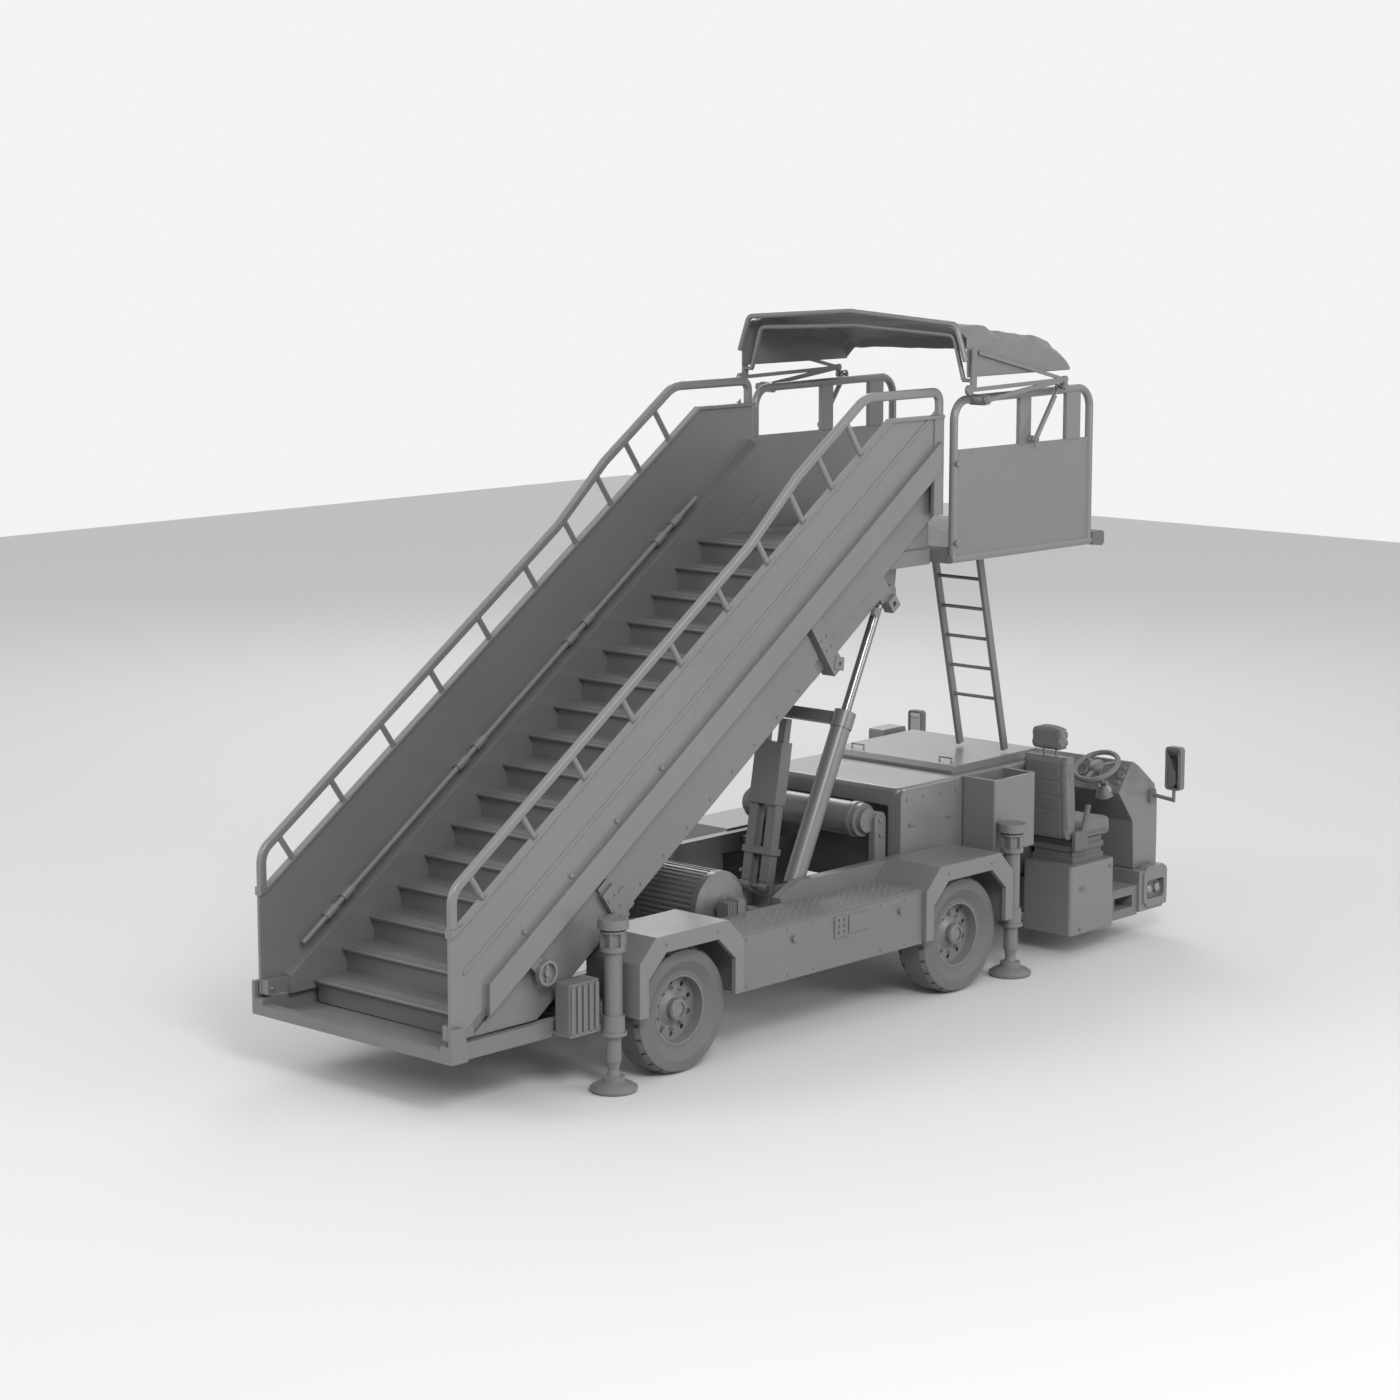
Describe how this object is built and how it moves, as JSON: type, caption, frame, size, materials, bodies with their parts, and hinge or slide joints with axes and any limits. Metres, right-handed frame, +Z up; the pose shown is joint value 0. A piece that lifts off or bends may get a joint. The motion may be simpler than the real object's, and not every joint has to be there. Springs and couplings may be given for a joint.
{
  "type": "mobile aircraft stairs",
  "caption": "Self-propelled passenger stairs with a lifting flight, level platform under a canopy, engine hood, driver's place, jacks and wheels.",
  "frame": {"origin": "on the ground under the middle of the machine's length and width", "axes": "+X forward towards the driver's place, +Y to the left, +Z up"},
  "size_m": [7.84, 2.84, 5.1518],
  "materials": {
    "painted_frame": "satin grey paint",
    "painted_panel": "smooth satin grey paint",
    "step_plate": "dull grey with a ribbed nosing",
    "deck_plate": "grey paint on tread plate",
    "hand_tube": "smooth grey enamel",
    "rod_chrome": "hard chrome, polished",
    "tyre": "grey rubber with a lugged tread",
    "rim": "grey wheel enamel",
    "rubber": "matt rubber",
    "moulding": "textured grey moulding",
    "seat_cover": "matt grey seat cover",
    "canopy_skin": "coated grey fabric, lightly wrinkled",
    "cast_metal": "dull grey casting"
  },
  "bodies": {
    "chassis": {"chassis_frame": "painted_frame", "outriggers": "painted_frame", "side_sills": "painted_frame", "entry_base": "painted_frame", "axle_beams": "cast_metal", "fenders": "painted_panel", "side_lockers": "painted_panel", "jack_housings": "painted_frame", "battery_boxes": "moulding", "air_receiver": "painted_frame", "reservoir": "painted_frame", "engine_block": "cast_metal", "hood": "painted_panel", "hood_lid": "painted_panel", "air_stack": "painted_panel", "tool_bin": "painted_panel", "pedestals": "painted_panel", "cab_floor": "deck_plate", "front_bumper": "painted_panel", "console": "painted_panel", "steering_wheel": "moulding", "seat_base": "rubber", "seat_cushion": "seat_cover", "seat_back": "seat_cover", "mirrors": "moulding"},
    "flight": {"flight_frame": "painted_frame", "side_panels": "painted_panel", "handrails": "hand_tube", "rail_supports": "hand_tube", "inner_rails": "hand_tube", "steps": "step_plate"},
    "platform": {"platform_floor": "painted_frame", "side_frames": "painted_panel", "platform_bumper": "rubber", "ladder": "painted_frame"},
    "canopy": {"canopy_arms": "painted_frame", "canopy_hoops": "painted_frame", "canopy_cover": "canopy_skin"},
    "strut_barrels": {"strut_barrels": "painted_frame"},
    "strut_rods": {"strut_rods": "rod_chrome"},
    "lift_barrels": {"lift_barrels": "painted_frame"},
    "lift_rods": {"lift_rods": "rod_chrome"},
    "prop_lower": {"prop_lower": "painted_frame"},
    "prop_upper": {"prop_upper": "painted_frame"},
    "knuckle_right": {"knuckle_right": "cast_metal"},
    "knuckle_left": {"knuckle_left": "cast_metal"},
    "jack_leg_rear_right": {"jack_leg_rear_right": "painted_frame"},
    "jack_leg_rear_left": {"jack_leg_rear_left": "painted_frame"},
    "jack_leg_front_right": {"jack_leg_front_right": "painted_frame"},
    "jack_leg_front_left": {"jack_leg_front_left": "painted_frame"},
    "wheel_front_right": {"rim_front_right": "rim", "tyre_front_right": "tyre"},
    "wheel_front_left": {"rim_front_left": "rim", "tyre_front_left": "tyre"},
    "wheel_rear_right": {"rim_rear_right": "rim", "tyre_rear_right": "tyre"},
    "wheel_rear_left": {"rim_rear_left": "rim", "tyre_rear_left": "tyre"}
  },
  "joints": [
    {"name": "flight_lift", "type": "hinge", "parent": "chassis", "child": "flight", "pos_m": [-3.845, 0, 0.6], "axis": [0, -1, 0], "range_deg": [0, 8]},
    {"name": "platform_level", "type": "hinge", "parent": "flight", "child": "platform", "pos_m": [1.238, 0, 3.285], "axis": [0, 1, 0], "range_deg": [0, 8.01]},
    {"name": "canopy_tilt", "type": "hinge", "parent": "platform", "child": "canopy", "pos_m": [1.52, 0, 4.49], "axis": [0, -1, 0], "range_deg": [0, 20]},
    {"name": "strut_swing", "type": "hinge", "parent": "platform", "child": "strut_barrels", "pos_m": [2.21, 0, 4.15], "axis": [0, -1, 0], "range_deg": [0, 20.07]},
    {"name": "strut_slide", "type": "slide", "parent": "strut_barrels", "child": "strut_rods", "axis": [0.5918, 0, 0.8061], "range_m": [0, 0.2681]},
    {"name": "barrel_tilt", "type": "hinge", "parent": "chassis", "child": "lift_barrels", "pos_m": [-0.14, 0, 0.9], "axis": [0, -1, 0], "range_deg": [0, 12.64]},
    {"name": "rod_slide", "type": "slide", "parent": "lift_barrels", "child": "lift_rods", "axis": [0.4347, 0, 0.9006], "range_m": [0, 0.4748]},
    {"name": "prop_tilt", "type": "hinge", "parent": "chassis", "child": "prop_lower", "pos_m": [0.22, 0, 0.8], "axis": [0, -1, 0], "range_deg": [0, 11.98]},
    {"name": "prop_slide", "type": "slide", "parent": "prop_lower", "child": "prop_upper", "axis": [0.1739, 0, 0.9848], "range_m": [0, 0.0813]},
    {"name": "steer_right", "type": "hinge", "parent": "chassis", "child": "knuckle_right", "pos_m": [1.16, -0.96, 0.45], "axis": [0, 0, 1], "range_deg": [-30, 30]},
    {"name": "steer_left", "type": "hinge", "parent": "chassis", "child": "knuckle_left", "pos_m": [1.16, 0.96, 0.45], "axis": [0, 0, 1], "range_deg": [-30, 30]},
    {"name": "jack_leg_rear_right_slide", "type": "slide", "parent": "chassis", "child": "jack_leg_rear_right", "axis": [0, 0, 1], "range_m": [0, 0.28]},
    {"name": "jack_leg_rear_left_slide", "type": "slide", "parent": "chassis", "child": "jack_leg_rear_left", "axis": [0, 0, 1], "range_m": [0, 0.28]},
    {"name": "jack_leg_front_right_slide", "type": "slide", "parent": "chassis", "child": "jack_leg_front_right", "axis": [0, 0, 1], "range_m": [0, 0.28]},
    {"name": "jack_leg_front_left_slide", "type": "slide", "parent": "chassis", "child": "jack_leg_front_left", "axis": [0, 0, 1], "range_m": [0, 0.28]},
    {"name": "spin_front_right", "type": "hinge", "parent": "knuckle_right", "child": "wheel_front_right", "pos_m": [1.16, -1.1, 0.45], "axis": [0, 1, 0], "continuous": true},
    {"name": "spin_front_left", "type": "hinge", "parent": "knuckle_left", "child": "wheel_front_left", "pos_m": [1.16, 1.1, 0.45], "axis": [0, 1, 0], "continuous": true},
    {"name": "spin_rear_right", "type": "hinge", "parent": "chassis", "child": "wheel_rear_right", "pos_m": [-1.94, -1.1, 0.45], "axis": [0, 1, 0], "continuous": true},
    {"name": "spin_rear_left", "type": "hinge", "parent": "chassis", "child": "wheel_rear_left", "pos_m": [-1.94, 1.1, 0.45], "axis": [0, 1, 0], "continuous": true}
  ],
  "couplings": [
    {"joint": "platform_level", "follows": "flight_lift", "ratio": 1},
    {"joint": "barrel_tilt", "follows": "flight_lift", "ratio": 1.5744},
    {"joint": "rod_slide", "follows": "flight_lift", "m_per_rad": 3.3932},
    {"joint": "prop_tilt", "follows": "flight_lift", "ratio": 1.4906},
    {"joint": "prop_slide", "follows": "flight_lift", "m_per_rad": 0.57533},
    {"joint": "strut_swing", "follows": "canopy_tilt", "ratio": 1.0009},
    {"joint": "strut_slide", "follows": "canopy_tilt", "m_per_rad": 0.76532},
    {"joint": "steer_left", "follows": "steer_right", "ratio": 1}
  ]
}
